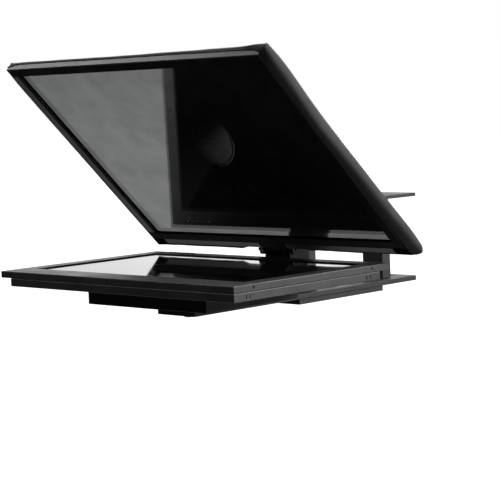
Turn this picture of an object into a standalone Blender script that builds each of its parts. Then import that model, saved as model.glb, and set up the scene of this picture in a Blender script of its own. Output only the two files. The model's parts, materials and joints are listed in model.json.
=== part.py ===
"""Teleprompter: a face-up display, a half-mirror leaning over it with its fabric hood, and a camera riser.

Metres, +Z up. X runs across the rig and +Y points from the presenter towards the camera operator.
The origin is the centre of the sled's underside, the flat face that is clamped to a tripod plate.
Each moving body has an empty on its joint's axis, and the pieces of that body are parented to it.
"""

import math

import bmesh
import bpy
from mathutils import Matrix, Vector

GAP = 0.0003  # clearance between pieces that touch on the real rig

# Sled and base plate
SLED_WIDTH = 0.090
SLED_LENGTH = 0.244
SLED_THICK = 0.010
PLATE_WIDTH = 0.094
PLATE_FRONT = -0.398
PLATE_REAR = 0.225
PLATE_THICK = 0.0095
PLATE_LOW = SLED_THICK + GAP
PLATE_TOP = PLATE_LOW + PLATE_THICK
SLOT_HALF = 0.0045
SLED_TRAVEL = 0.040
SLED_SCREW_Y = (0.020, 0.080)
SLED_SCREW_RADIUS = 0.003
TRIPOD_HOLES = ((-0.030, 0.0048), (-0.062, 0.0032), (-0.094, 0.0048))  # distance along Y, radius
REAR_SLOT = (0.190, 0.212)
REAR_SLOT_HALF = 0.0033
THROUGH = 0.002  # how far a cutter passes a face

# Display
SCREEN_W = 0.5314  # active area of a 24 inch 16:9 panel
SCREEN_L = 0.2989
BEZEL_SIDE = 0.0318
BEZEL_REAR = 0.033
BEZEL_FRONT = 0.0561
DISPLAY_FRONT = -0.550
DISPLAY_TOP = 0.093
BEZEL_THICK = 0.0122
BEZEL_WALL = 0.0018
CASING_THICK = 0.0142
CASING_LEFT_STEP = 0.027
CASING_REAR_STEP = 0.0256
SHEET = 0.002  # sheet metal of the casing and the electronics box
DISPLAY_HALF = SCREEN_W / 2 + BEZEL_SIDE
DISPLAY_REAR = DISPLAY_FRONT + BEZEL_FRONT + SCREEN_L + BEZEL_REAR
BEZEL_LOW = DISPLAY_TOP - BEZEL_THICK
CASING_LOW = BEZEL_LOW - GAP - CASING_THICK
SCREEN_FRONT = DISPLAY_FRONT + BEZEL_FRONT
SCREEN_REAR = DISPLAY_REAR - BEZEL_REAR
PANEL_MARGIN = 0.0025
SCREEN_THICK = 0.0023
CASING_SLOTS = (0.0288, 0.0371, 0.3264, 0.3358)  # slots in the right side, back from its front end
CASING_SLOT_HALF = (0.0012, 0.0033)
CABLE_WAY = ((-0.05, -0.40), (0.05, -0.36))
BEZEL_SCREW_LEVEL = DISPLAY_TOP - 0.0053
BEZEL_SCREW_SEAT = 0.0022
FRONT_SCREWS = (-0.0067, 0.2705)  # in the bezel's front edge, across the rig
SIDE_SCREWS = (0.0463, 0.3415)  # in the bezel's right edge, back from its front end

# Electronics box and its slide on the base plate
BOX_HALF = 0.151
BOX_FRONT = -0.470
BOX_REAR = -0.240
CARRIAGE_HALF = 0.038
CARRIAGE_FRONT = -0.392
CARRIAGE_REAR = -0.272
CARRIAGE_THICK = 0.0108
LOCK_Y = -0.364
MONITOR_TRAVEL = (-0.020, 0.004)
LOCK_STUD_RADIUS = 0.003
BOX_LOW = PLATE_TOP + GAP + CARRIAGE_THICK + GAP
BOARD_FRONT = -0.450
BOARD_REAR = -0.300
BOARD_THICK = 0.0016
BOARD_RAISE = 0.005
# Left edge, right edge, height of the tallest component above the tray
BOARDS = {"video_board": (-0.135, -0.015, 0.009), "power_board": (0.015, 0.135, 0.018)}
STANDOFF = 0.006
INLET_X = -0.100
INLET_HALF = 0.013
INLET_RADIUS = 0.0095
VIDEO_X = (0.080, 0.105)

# Menu buttons on the rear bezel
BUTTONS = 6
BUTTON_X = -0.247
BUTTON_PITCH = 0.0118
BUTTON_Y = -0.1705
BUTTON_SIZE = (0.0080, 0.0044)
LED_X = BUTTON_X + BUTTONS * BUTTON_PITCH
LED_RADIUS = 0.0012

# Camera riser
POST_HALF = 0.0255
FRONT_POST = (-0.075, -0.050)
REAR_POST = (0.146, 0.171)
POST_SCREW_X = 0.014
POST_SCREW_HOLE = 0.0030
DECK_HALF = 0.048
DECK_FRONT = -0.110
DECK_REAR = 0.230
DECK_TOP = 0.186
DECK_THICK = 0.007
DECK_LOW = DECK_TOP - DECK_THICK
CAMERA_Y = 0.050
CAMERA_TRAVEL = 0.058
DECK_SLOT_HALF = 0.0053
CAMERA_STUD_RADIUS = 0.0047
CAMERA_STUD_RISE = 0.011  # how far the camera screw stands above the platform

# Tilting glass frame, drawn flat: X across, Y up the glass, Z out of its mirrored face
TILT = math.radians(135.7)  # turns that flat frame to lean 44.3 degrees over the display
PIVOT = (0, -0.120, 0.103)
FRAME_FACE = 0.0086
FRAME_LOW = 0.0283
FRAME_LENGTH = 0.4882
FRAME_HALF = 0.3205
FRAME_TOP = FRAME_LOW + FRAME_LENGTH
LIP = 0.0175
LIP_DEPTH = 0.0019
RAIL_WALL = 0.005
RAIL_DEPTH = 0.013
RAIL_BACK = FRAME_FACE - RAIL_DEPTH
GLASS_THICK = 0.004
GLASS_FACE = FRAME_FACE - LIP_DEPTH - GAP
GLASS_BACK = GLASS_FACE - GLASS_THICK
GLASS_INSET = RAIL_WALL + 0.0012
BEAD_WIDTH = 0.0085
BEAD_DEPTH = 0.005
KEY_LEG = 0.046
KEY_THICK = 0.002
KEY_INSET = 0.0004
STRIP_LOW = 0.0133
STRIP_DEPTH = 0.004
STRIP_END = 0.292
EAR_HALF = 0.032
EAR_GAP = 0.020
EAR_RADIUS = 0.009
PIN_RADIUS = 0.004
PIN_END = 0.0745  # length of the pin under its head
PIN_SHOULDER = 0.0640  # where the pin narrows for the knob
PIN_NECK = 0.0030
PIN_BORE = 0.040  # half the length of the cutter for the pin's bore
KNUCKLE_RADIUS = 0.008
FLANGE_BACK = 0.0
FLANGE_FRONT = FRAME_FACE - GAP

# Fabric hood: a skirt round the frame, a taper to the mouth, and a sleeve for the lens
FABRIC = 0.0012
SKIRT_FRONT = -0.0005
SKIRT_BACK = -0.0085
MOUTH = (0, -0.288, 0.315)
MOUTH_RADIUS = 0.050
MOUTH_LEAN = math.radians(20)
SLEEVE_END = (0, -0.188, 0.315)
SLEEVE_RADIUS = 0.046
SIDE_STEPS = 10  # hood points along each side of the frame

# Colour, roughness and metallic value of each finish
FINISHES = {
    "frame_metal": ((0.022, 0.022, 0.024), 0.42, 0.5),
    "plate_metal": ((0.035, 0.035, 0.037), 0.38, 0.6),
    "casing_paint": ((0.028, 0.028, 0.030), 0.50, 0.2),
    "screen_glass": ((0.006, 0.006, 0.007), 0.06, 0.0),
    "half_mirror": ((0.55, 0.58, 0.58), 0.02, 0.0),
    "hood_fabric": ((0.014, 0.014, 0.015), 0.92, 0.0),
    "gasket_rubber": ((0.010, 0.010, 0.010), 0.75, 0.0),
    "screw_steel": ((0.10, 0.10, 0.105), 0.32, 1.0),
    "knob_plastic": ((0.018, 0.018, 0.019), 0.55, 0.0),
    "button_plastic": ((0.030, 0.030, 0.032), 0.45, 0.0),
    "circuit_board": ((0.02, 0.10, 0.045), 0.45, 0.0),
    "panel_metal": ((0.55, 0.55, 0.56), 0.40, 0.9),
    "connector_metal": ((0.60, 0.60, 0.60), 0.28, 1.0),
    "led_lens": ((0.10, 0.55, 0.20), 0.20, 0.0),
}

# Body: (its parent body, the joint's place in the world)
BODIES = {
    "sled": (None, (0, 0, 0)),
    "base": ("sled", (0, 0, PLATE_LOW)),
    "monitor": ("base", (0, LOCK_Y, PLATE_TOP)),
    "monitor_lock": ("monitor", (0, LOCK_Y, PLATE_LOW)),
    "glass_frame": ("base", PIVOT),
    "tilt_knob": ("base", PIVOT),
    "camera_slider": ("base", (0, CAMERA_Y, DECK_LOW)),
    "camera_screw": ("camera_slider", (0, CAMERA_Y, DECK_LOW)),
}

# Turns a shape drawn along +Z so that it points along the named axis
TURNS = {
    "+X": (0, math.pi / 2, 0),
    "-X": (0, -math.pi / 2, 0),
    "+Y": (-math.pi / 2, 0, 0),
    "-Y": (math.pi / 2, 0, 0),
    "+Z": (0, 0, 0),
    "-Z": (math.pi, 0, 0),
}

# Carries an outline's own axes and its thickness onto the body's: X takes (y, z), Y takes (z, x)
OUTLINE_AXES = {
    "X": Matrix(((0, 0, 1, 0), (1, 0, 0, 0), (0, 1, 0, 0), (0, 0, 0, 1))),
    "Y": Matrix(((0, 1, 0, 0), (0, 0, 1, 0), (1, 0, 0, 0), (0, 0, 0, 1))),
    "Z": Matrix.Identity(4),
}

empties = {}
collections = {}


# ---------------------------------------------------------------- scene, bodies and materials


def clear_scene():
    for obj in list(bpy.data.objects):
        bpy.data.objects.remove(obj, do_unlink=True)


def add_collections():
    for name in ("teleprompter", "cutters"):
        collections[name] = bpy.data.collections.new(name)
        bpy.context.scene.collection.children.link(collections[name])


def add_body(name, parent, place):
    empty = bpy.data.objects.new(name + "_axis", None)
    empty.empty_display_size = 0.02
    collections["teleprompter"].objects.link(empty)
    empty.location = place
    if parent:
        empty.parent = empties[parent]
        empty.location = Vector(place) - Vector(BODIES[parent][1])
    if name == "glass_frame":
        empty.rotation_euler = (TILT, 0, 0)
    empties[name] = empty


def body_place(body, point):
    """A point as its body's empty sees it. The glass frame's pieces are already drawn from their pivot."""
    if body == "glass_frame":
        return Vector(point)
    return Vector(point) - Vector(BODIES[body][1])


def finish(obj, slot):
    colour, roughness, metallic = FINISHES[slot]
    material = bpy.data.materials.new(f"{obj.name}_{slot}")
    material.use_nodes = True
    shader = material.node_tree.nodes["Principled BSDF"]
    shader.inputs["Base Color"].default_value = (*colour, 1)
    shader.inputs["Roughness"].default_value = roughness
    shader.inputs["Metallic"].default_value = metallic
    obj.data.materials.append(material)


def add_object(name, mesh, body, slot, place=(0, 0, 0)):
    """A part where slot names its finish, or a hidden cutter where slot is None."""
    obj = bpy.data.objects.new(name, mesh)
    obj.parent = empties[body]
    obj.location = body_place(body, place)
    if slot:
        collections["teleprompter"].objects.link(obj)
        finish(obj, slot)
    else:
        collections["cutters"].objects.link(obj)
        obj.hide_render = True
        obj.display_type = "WIRE"
    return obj


# ---------------------------------------------------------------- shapes


def box(name, body, slot, low, high):
    low, high = Vector(low), Vector(high)
    bm = bmesh.new()
    bmesh.ops.create_cube(bm, size=1, matrix=Matrix.Diagonal((*(high - low), 1)))
    mesh = bpy.data.meshes.new(name)
    bm.to_mesh(mesh)
    bm.free()
    return add_object(name, mesh, body, slot, (low + high) / 2)


def rod(name, body, slot, start, length, radius, axis="+Z", sides=24):
    """A cylinder from start, along axis."""
    bm = bmesh.new()
    bmesh.ops.create_cone(
        bm, cap_ends=True, segments=sides, radius1=radius, radius2=radius, depth=length,
        matrix=Matrix.Translation((0, 0, length / 2)),
    )
    mesh = bpy.data.meshes.new(name)
    bm.to_mesh(mesh)
    bm.free()
    smooth(mesh)
    obj = add_object(name, mesh, body, slot, start)
    obj.rotation_euler = TURNS[axis]
    return obj


def turned(name, body, slot, place, profile, axis="+Z", sides=20):
    """(radius, height) points, from the top of the axis down the outer side, turned about axis."""
    mesh = bpy.data.meshes.new(name)
    points = [(radius, 0, height) for radius, height in profile]
    mesh.from_pydata(points, [(i, i + 1) for i in range(len(points) - 1)], [])
    obj = add_object(name, mesh, body, slot, place)
    obj.rotation_euler = TURNS[axis]
    screw = obj.modifiers.new("Turn", "SCREW")
    screw.steps = sides
    screw.render_steps = sides
    screw.use_merge_vertices = True
    screw.merge_threshold = 0.00001
    return obj


def prism(name, body, slot, outline, low, high, axis="Z"):
    """A flat outline given thickness from low to high along axis."""
    curve = bpy.data.curves.new(name, "CURVE")
    curve.dimensions = "2D"
    curve.fill_mode = "BOTH"
    curve.extrude = (high - low) / 2
    spline = curve.splines.new("POLY")
    spline.points.add(len(outline) - 1)
    for point, (across, up) in zip(spline.points, outline):
        point.co = (across, up, 0, 1)
    spline.use_cyclic_u = True
    guide = bpy.data.objects.new(name + "_outline", curve)
    collections["cutters"].objects.link(guide)
    graph = bpy.context.evaluated_depsgraph_get()
    mesh = bpy.data.meshes.new_from_object(guide.evaluated_get(graph))
    bpy.data.objects.remove(guide)
    bm = bmesh.new()
    bm.from_mesh(mesh)
    bmesh.ops.remove_doubles(bm, verts=bm.verts, dist=0.000001)
    bmesh.ops.translate(bm, verts=bm.verts, vec=(0, 0, (low + high) / 2))
    bmesh.ops.transform(bm, verts=bm.verts, matrix=OUTLINE_AXES[axis])
    bmesh.ops.recalc_face_normals(bm, faces=bm.faces)
    bm.to_mesh(mesh)
    bm.free()
    mesh.name = name
    return add_object(name, mesh, body, slot)


def smooth(mesh):
    mesh.shade_smooth()
    mesh.set_sharp_from_angle(angle=math.radians(40))


def soften(obj, width, segments=1):
    bevel = obj.modifiers.new("Edges", "BEVEL")
    bevel.width = width
    bevel.segments = segments
    bevel.limit_method = "ANGLE"


def boolean(obj, other, operation):
    modifier = obj.modifiers.new(other.name, "BOOLEAN")
    modifier.operation = operation
    modifier.object = other


def cut_box(obj, body, low, high):
    name = f"{obj.name}_cut{len(obj.modifiers)}"
    boolean(obj, box(name, body, None, low, high), "DIFFERENCE")


def cut_hole(obj, body, start, length, radius, axis="+Z", sides=24):
    name = f"{obj.name}_hole{len(obj.modifiers)}"
    boolean(obj, rod(name, body, None, start, length, radius, axis, sides), "DIFFERENCE")


def cut_slot(obj, body, y_low, y_high, z_low, z_high, half):
    """A round-ended slot along Y through a plate, on its centre line."""
    outline = [
        (half * math.cos(a), y_high - half + half * math.sin(a)) for a in arc(0, math.pi, 6)
    ] + [
        (half * math.cos(a), y_low + half + half * math.sin(a)) for a in arc(math.pi, 2 * math.pi, 6)
    ]
    name = f"{obj.name}_slot{len(obj.modifiers)}"
    boolean(obj, prism(name, body, None, outline, z_low, z_high), "DIFFERENCE")


def join_box(obj, body, low, high):
    name = f"{obj.name}_join{len(obj.modifiers)}"
    boolean(obj, box(name, body, None, low, high), "UNION")


def arc(start, end, steps):
    """Angles from start to end, both included."""
    return [start + (end - start) * i / steps for i in range(steps + 1)]


def lobed(radius, depth, lobes, per_lobe=8):
    """The outline of a hand knob with finger flutes."""
    count = lobes * per_lobe
    points = []
    for i in range(count):
        angle = 2 * math.pi * i / count
        reach = radius - depth / 2 + depth / 2 * math.cos(lobes * angle)
        points.append((reach * math.cos(angle), reach * math.sin(angle)))
    return points


def cap_screw(name, body, place, head_radius, head_height, shank_radius, shank_length, axis="+Z"):
    """A socket head screw. Its place is under the head, and axis points out of the head."""
    socket = head_radius * 0.5
    profile = [
        (0, head_height * 0.35),
        (socket, head_height * 0.35),
        (socket, head_height),
        (head_radius * 0.92, head_height),
        (head_radius, head_height * 0.85),
        (head_radius, 0),
        (shank_radius, 0),
        (shank_radius, -shank_length),
        (0, -shank_length),
    ]
    return turned(name, body, "screw_steel", place, profile, axis)


# ---------------------------------------------------------------- sled and base plate


def make_sled():
    sled = box(
        "sled_plate", "sled", "plate_metal",
        (-SLED_WIDTH / 2, -SLED_LENGTH / 2, 0), (SLED_WIDTH / 2, SLED_LENGTH / 2, SLED_THICK),
    )
    soften(sled, 0.0006)
    for y, radius in TRIPOD_HOLES:
        cut_hole(sled, "sled", (0, y, -THROUGH), SLED_THICK + 2 * THROUGH, radius, sides=20)
    for index, y in enumerate(SLED_SCREW_Y, 1):
        cut_hole(
            sled, "sled", (0, y, -THROUGH), SLED_THICK + 2 * THROUGH, SLED_SCREW_RADIUS + GAP, sides=16
        )
        cap_screw(
            f"sled_clamp_screw_{index}", "sled", (0, y, PLATE_TOP + GAP), 0.009, 0.006, SLED_SCREW_RADIUS,
            PLATE_THICK + SLED_THICK * 0.85,
        )


def make_base_plate():
    plate = box(
        "base_plate", "base", "plate_metal",
        (-PLATE_WIDTH / 2, PLATE_FRONT, PLATE_LOW), (PLATE_WIDTH / 2, PLATE_REAR, PLATE_TOP),
    )
    soften(plate, 0.0008)
    below, above = PLATE_LOW - THROUGH, PLATE_TOP + THROUGH
    margin = SLOT_HALF + 0.001
    cut_slot(
        plate, "base", LOCK_Y + MONITOR_TRAVEL[0] - margin, LOCK_Y + MONITOR_TRAVEL[1] + margin,
        below, above, SLOT_HALF,
    )
    cut_slot(
        plate, "base", SLED_SCREW_Y[0] - SLED_TRAVEL - margin, SLED_SCREW_Y[1] + SLED_TRAVEL + margin,
        below, above, SLOT_HALF,
    )
    cut_slot(plate, "base", *REAR_SLOT, below, above, REAR_SLOT_HALF)


# ---------------------------------------------------------------- camera riser


def make_riser():
    for name, (front, rear) in (("front_post", FRONT_POST), ("rear_post", REAR_POST)):
        post = box(
            name, "base", "plate_metal",
            (-POST_HALF, front, PLATE_TOP + GAP), (POST_HALF, rear, DECK_LOW - GAP),
        )
        soften(post, 0.0012, 2)
        for x in (-POST_SCREW_X, POST_SCREW_X):
            cut_hole(
                post, "base", (x, (front + rear) / 2, DECK_LOW - 0.020), 0.025, POST_SCREW_HOLE, sides=12
            )
    deck = box(
        "camera_platform", "base", "plate_metal",
        (-DECK_HALF, DECK_FRONT, DECK_LOW), (DECK_HALF, DECK_REAR, DECK_TOP),
    )
    soften(deck, 0.0008)
    reach = CAMERA_TRAVEL + DECK_SLOT_HALF + 0.0007
    cut_slot(
        deck, "base", CAMERA_Y - reach, CAMERA_Y + reach, DECK_LOW - THROUGH, DECK_TOP + THROUGH,
        DECK_SLOT_HALF,
    )
    seat = DECK_TOP - 0.0035
    corners = [(x, sum(post) / 2) for post in (FRONT_POST, REAR_POST) for x in (-POST_SCREW_X, POST_SCREW_X)]
    for index, (x, y) in enumerate(corners, 1):
        start = (x, y, DECK_LOW - THROUGH)
        cut_hole(deck, "base", start, DECK_THICK + 2 * THROUGH, POST_SCREW_HOLE, sides=12)
        cut_hole(deck, "base", (x, y, seat), 0.006, 0.0052, sides=20)
        cap_screw(
            f"platform_screw_{index}", "base", (x, y, seat + GAP), 0.0048, 0.0032, 0.0026, 0.018
        )


def make_camera_screw():
    top = DECK_LOW - GAP
    half, thick = 0.014, 0.003
    slider = box(
        "camera_screw_washer", "camera_slider", "plate_metal",
        (-half, CAMERA_Y - half, top - thick), (half, CAMERA_Y + half, top),
    )
    soften(slider, 0.0006)
    cut_hole(slider, "camera_slider", (0, CAMERA_Y, top - thick - THROUGH), 0.008, 0.0051, sides=20)
    knob_top = top - thick - GAP
    knob = prism(
        "camera_screw", "camera_screw", "knob_plastic", shifted(lobed(0.017, 0.003, 8), 0, CAMERA_Y),
        knob_top - 0.012, knob_top,
    )
    soften(knob, 0.0008)
    stud = rod(
        "camera_screw_stud", "camera_screw", None, (0, CAMERA_Y, knob_top - 0.006),
        DECK_TOP + CAMERA_STUD_RISE - knob_top + 0.006, CAMERA_STUD_RADIUS, sides=20,
    )
    boolean(knob, stud, "UNION")


def shifted(outline, across, up):
    return [(a + across, b + up) for a, b in outline]


# ---------------------------------------------------------------- display


def make_bezel():
    bezel = box(
        "display_bezel", "monitor", "casing_paint",
        (-DISPLAY_HALF, DISPLAY_FRONT, BEZEL_LOW), (DISPLAY_HALF, DISPLAY_REAR, DISPLAY_TOP),
    )
    soften(bezel, 0.0010, 2)
    inner = SCREEN_W / 2 + PANEL_MARGIN + GAP
    cut_box(
        bezel, "monitor", (-inner, SCREEN_FRONT - PANEL_MARGIN - GAP, BEZEL_LOW - 0.005),
        (inner, SCREEN_REAR + PANEL_MARGIN + GAP, DISPLAY_TOP - BEZEL_WALL),
    )
    cut_box(
        bezel, "monitor", (-SCREEN_W / 2, SCREEN_FRONT, BEZEL_LOW - 0.005),
        (SCREEN_W / 2, SCREEN_REAR, DISPLAY_TOP + 0.005),
    )
    low, high = button_pocket()
    cut_box(bezel, "monitor", (*low, BEZEL_LOW - 0.005), (*high, DISPLAY_TOP - BEZEL_WALL))
    for index in range(BUTTONS):
        x = BUTTON_X + index * BUTTON_PITCH
        half = [side / 2 + GAP for side in BUTTON_SIZE]
        cut_box(
            bezel, "monitor", (x - half[0], BUTTON_Y - half[1], BEZEL_LOW),
            (x + half[0], BUTTON_Y + half[1], DISPLAY_TOP + 0.005),
        )
    cut_hole(bezel, "monitor", (LED_X, BUTTON_Y, BEZEL_LOW), 0.02, LED_RADIUS + GAP, sides=12)


def button_pocket():
    """The hollow under the button row, as (x, y) corners."""
    low = (BUTTON_X - 0.010, BUTTON_Y - 0.0060)
    high = (LED_X + 0.006, BUTTON_Y + 0.0060)
    return low, high


def make_buttons():
    width, depth = BUTTON_SIZE
    under = DISPLAY_TOP - BEZEL_WALL - GAP
    for index in range(BUTTONS):
        x = BUTTON_X + index * BUTTON_PITCH
        body = f"button_{index + 1}"
        brim_x, brim_y = width / 2 + 0.0008, depth / 2 + 0.0008
        cap = box(
            body, body, "button_plastic",
            (x - width / 2, BUTTON_Y - depth / 2, under - 0.0012),
            (x + width / 2, BUTTON_Y + depth / 2, DISPLAY_TOP + 0.0011),
        )
        soften(cap, 0.0004)
        join_box(
            cap, body, (x - brim_x, BUTTON_Y - brim_y, under - 0.0022),
            (x + brim_x, BUTTON_Y + brim_y, under - 0.0010),
        )


def make_button_board():
    (left, front), (right, rear) = button_pocket()
    cover_thick, inset, led_half = 0.0016, 0.0008, 0.0015
    cover = box(
        "button_cover", "monitor", "casing_paint",
        (left + GAP, front + GAP, BEZEL_LOW), (right - GAP, rear - GAP, BEZEL_LOW + cover_thick),
    )
    soften(cover, 0.0003)
    board_low = BEZEL_LOW + cover_thick + GAP
    board = box(
        "button_board", "monitor", "circuit_board",
        (left + inset, front + inset, board_low), (right - inset, rear - inset, board_low + BOARD_THICK),
    )
    led_low = board_low + 0.0032
    join_box(
        board, "monitor", (LED_X - led_half, BUTTON_Y - led_half, board_low + 0.001),
        (LED_X + led_half, BUTTON_Y + led_half, led_low),
    )
    rod(
        "power_led", "monitor", "led_lens", (LED_X, BUTTON_Y, led_low + GAP),
        DISPLAY_TOP + 0.0004 - led_low - GAP, LED_RADIUS, sides=12,
    )


def make_panel():
    edge = SCREEN_W / 2 + PANEL_MARGIN
    front, rear = SCREEN_FRONT - PANEL_MARGIN, SCREEN_REAR + PANEL_MARGIN
    top = DISPLAY_TOP - BEZEL_WALL - GAP
    box("screen_glass", "monitor", "screen_glass", (-edge, front, top - SCREEN_THICK), (edge, rear, top))
    panel = box(
        "lcd_panel", "monitor", "panel_metal",
        (-edge, front, BEZEL_LOW + GAP), (edge, rear, top - SCREEN_THICK - GAP),
    )
    soften(panel, 0.0005)


def make_casing():
    low = (-DISPLAY_HALF + CASING_LEFT_STEP, DISPLAY_FRONT, CASING_LOW)
    high = (DISPLAY_HALF, DISPLAY_REAR - CASING_REAR_STEP, BEZEL_LOW - GAP)
    casing = box("display_casing", "monitor", "casing_paint", low, high)
    soften(casing, 0.0010, 2)
    cut_box(
        casing, "monitor", (low[0] + SHEET, low[1] + SHEET, low[2] + SHEET),
        (high[0] - SHEET, high[1] - SHEET, high[2] + 0.005),
    )
    middle = (low[2] + high[2]) / 2
    half_y, half_z = CASING_SLOT_HALF
    for y in CASING_SLOTS:
        cut_box(
            casing, "monitor", (DISPLAY_HALF - 3 * SHEET, DISPLAY_FRONT + y - half_y, middle - half_z),
            (DISPLAY_HALF + THROUGH, DISPLAY_FRONT + y + half_y, middle + half_z),
        )
    # cable way down into the electronics box
    start, end = CABLE_WAY
    cut_box(casing, "monitor", (*start, low[2] - THROUGH), (*end, low[2] + 2 * SHEET))


def make_bezel_screws():
    """Small cap screws through the bezel's edge, with their heads let into it."""
    places = [
        ("front_1", (FRONT_SCREWS[0], DISPLAY_FRONT, BEZEL_SCREW_LEVEL), "-Y"),
        ("front_2", (FRONT_SCREWS[1], DISPLAY_FRONT, BEZEL_SCREW_LEVEL), "-Y"),
        ("side_1", (DISPLAY_HALF, DISPLAY_FRONT + SIDE_SCREWS[0], BEZEL_SCREW_LEVEL), "+X"),
        ("side_2", (DISPLAY_HALF, DISPLAY_FRONT + SIDE_SCREWS[1], BEZEL_SCREW_LEVEL), "+X"),
    ]
    bezel = bpy.data.objects["display_bezel"]
    inward = {"-Y": "+Y", "+X": "-X"}
    outward = {"-Y": Vector((0, -1, 0)), "+X": Vector((1, 0, 0))}
    for name, place, axis in places:
        out = outward[axis]
        start = Vector(place) + out * THROUGH
        cut_hole(bezel, "monitor", start, THROUGH + BEZEL_SCREW_SEAT, 0.0022, inward[axis], 14)
        cut_hole(bezel, "monitor", start, THROUGH + 0.0090, 0.0013, inward[axis], 10)
        seat = Vector(place) - out * (BEZEL_SCREW_SEAT - GAP)
        cap_screw(f"bezel_screw_{name}", "monitor", seat, 0.0019, 0.0018, 0.0010, 0.0055, axis)


# ---------------------------------------------------------------- electronics under the display


def make_electronics_box():
    low = (-BOX_HALF, BOX_FRONT, BOX_LOW)
    high = (BOX_HALF, BOX_REAR, CASING_LOW - GAP)
    tray = box("electronics_box", "monitor", "casing_paint", low, high)
    soften(tray, 0.0012, 2)
    cut_box(
        tray, "monitor", (low[0] + SHEET, low[1] + SHEET, low[2] + SHEET),
        (high[0] - SHEET, high[1] - SHEET, high[2] + 0.005),
    )
    return tray


def make_boards():
    floor = BOX_LOW + SHEET
    under, joint = floor + BOARD_RAISE, floor + BOARD_RAISE + 0.001
    half = STANDOFF / 2
    for name, (left, right, tall) in BOARDS.items():
        board = box(
            name, "monitor", "circuit_board",
            (left, BOARD_FRONT, under), (right, BOARD_REAR, under + BOARD_THICK),
        )
        # standoffs down to the tray, then the tallest components
        for x in (left + 0.008, right - 0.008):
            for y in (BOARD_FRONT + 0.008, BOARD_REAR - 0.008):
                join_box(board, "monitor", (x - half, y - half, floor + GAP), (x + half, y + half, joint))
        centre = ((left + right) / 2, (BOARD_FRONT + BOARD_REAR) / 2)
        join_box(
            board, "monitor", (centre[0] - 0.018, centre[1] - 0.018, joint),
            (centre[0] + 0.018, centre[1] + 0.018, floor + tall),
        )


def make_connectors(tray):
    """Power inlet and two coaxial video sockets through the rear wall of the electronics box."""
    height = (BOX_LOW + CASING_LOW) / 2
    wall = BOX_REAR
    inlet = box(
        "power_inlet", "monitor", "connector_metal",
        (INLET_X - INLET_HALF, wall + GAP, height - INLET_HALF),
        (INLET_X + INLET_HALF, wall + 0.0025, height + INLET_HALF),
    )
    soften(inlet, 0.0008)
    barrel = rod(
        "power_inlet_barrel", "monitor", None, (INLET_X, wall - 0.015, height), 0.0170, INLET_RADIUS, "+Y"
    )
    boolean(inlet, barrel, "UNION")
    cut_hole(inlet, "monitor", (INLET_X, wall + 0.005, height), 0.0170, INLET_RADIUS - SHEET, "-Y")
    pin_circle = 0.0040
    for angle in (45, 135, 225, 315):
        x = INLET_X + pin_circle * math.cos(math.radians(angle))
        z = height + pin_circle * math.sin(math.radians(angle))
        name = f"power_inlet_pin{angle}"
        pin = rod(name, "monitor", None, (x, wall - 0.0140, z), 0.0060, 0.0008, "+Y", 8)
        boolean(inlet, pin, "UNION")
    cut_hole(tray, "monitor", (INLET_X, wall + 0.004, height), 0.010, INLET_RADIUS + GAP, "-Y")
    for index, x in enumerate(VIDEO_X, 1):
        profile = [
            (0, 0.0055), (0.0009, 0.0055), (0.0009, 0.0030), (0.0036, 0.0030), (0.0036, 0.0120),
            (0.0048, 0.0120), (0.0048, 0.0030), (0.0070, 0.0030), (0.0070, GAP), (0.0045, GAP),
            (0.0045, -0.0110), (0, -0.0110),
        ]
        turned(f"video_socket_{index}", "monitor", "connector_metal", (x, wall, height), profile, "+Y")
        cut_hole(tray, "monitor", (x, wall + 0.004, height), 0.010, 0.0049, "-Y", 16)


def make_carriage():
    """The block that carries the display along the base plate, keyed in the plate's slot."""
    low = (-CARRIAGE_HALF, CARRIAGE_FRONT, PLATE_TOP + GAP)
    high = (CARRIAGE_HALF, CARRIAGE_REAR, PLATE_TOP + GAP + CARRIAGE_THICK)
    carriage = box("monitor_carriage", "monitor", "plate_metal", low, high)
    soften(carriage, 0.0008)
    cut_hole(
        carriage, "monitor", (0, LOCK_Y, PLATE_TOP - THROUGH), THROUGH + 0.007, LOCK_STUD_RADIUS + GAP,
        sides=16,
    )
    head_top = PLATE_LOW - GAP
    lock = prism(
        "monitor_lock_knob", "monitor_lock", "knob_plastic", shifted(lobed(0.0095, 0.0016, 8, 6), 0, LOCK_Y),
        head_top - 0.0055, head_top,
    )
    soften(lock, 0.0006)
    stud = rod(
        "monitor_lock_stud", "monitor_lock", None, (0, LOCK_Y, head_top - 0.003), 0.0175, LOCK_STUD_RADIUS,
        sides=16,
    )
    boolean(lock, stud, "UNION")


# ---------------------------------------------------------------- tilt bracket


def make_bracket():
    """A block in front of the riser, forked at its front for the hinge."""
    _, y, z = PIVOT
    foot, back = PLATE_TOP + GAP, FRONT_POST[0] - GAP
    outline = [(y - EAR_RADIUS, foot)]
    outline += [
        (y + EAR_RADIUS * math.cos(a), z + EAR_RADIUS * math.sin(a))
        for a in arc(math.pi, math.radians(60), 8)
    ]
    outline += [(back, z - 0.002), (back, foot)]
    bracket = prism("tilt_bracket", "base", "plate_metal", outline[::-1], -EAR_HALF, EAR_HALF, "X")
    soften(bracket, 0.0006)
    cut_box(
        bracket, "base", (-EAR_GAP, y - 0.020, z - 0.0105), (EAR_GAP, y + 0.014, z + 0.020)
    )
    cut_hole(bracket, "base", (-PIN_BORE, y, z), 2 * PIN_BORE, PIN_RADIUS + GAP, "+X")


def make_hinge_pin():
    profile = [
        (0, 0.003), (0.0035, 0.003), (0.0035, 0.005), (0.0075, 0.005), (0.0075, 0), (PIN_RADIUS, 0),
        (PIN_RADIUS, -PIN_SHOULDER), (PIN_NECK, -PIN_SHOULDER), (PIN_NECK, -PIN_END), (0, -PIN_END),
    ]
    turned("hinge_pin", "base", "screw_steel", (EAR_HALF + GAP, *PIVOT[1:]), profile, "+X")


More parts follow.
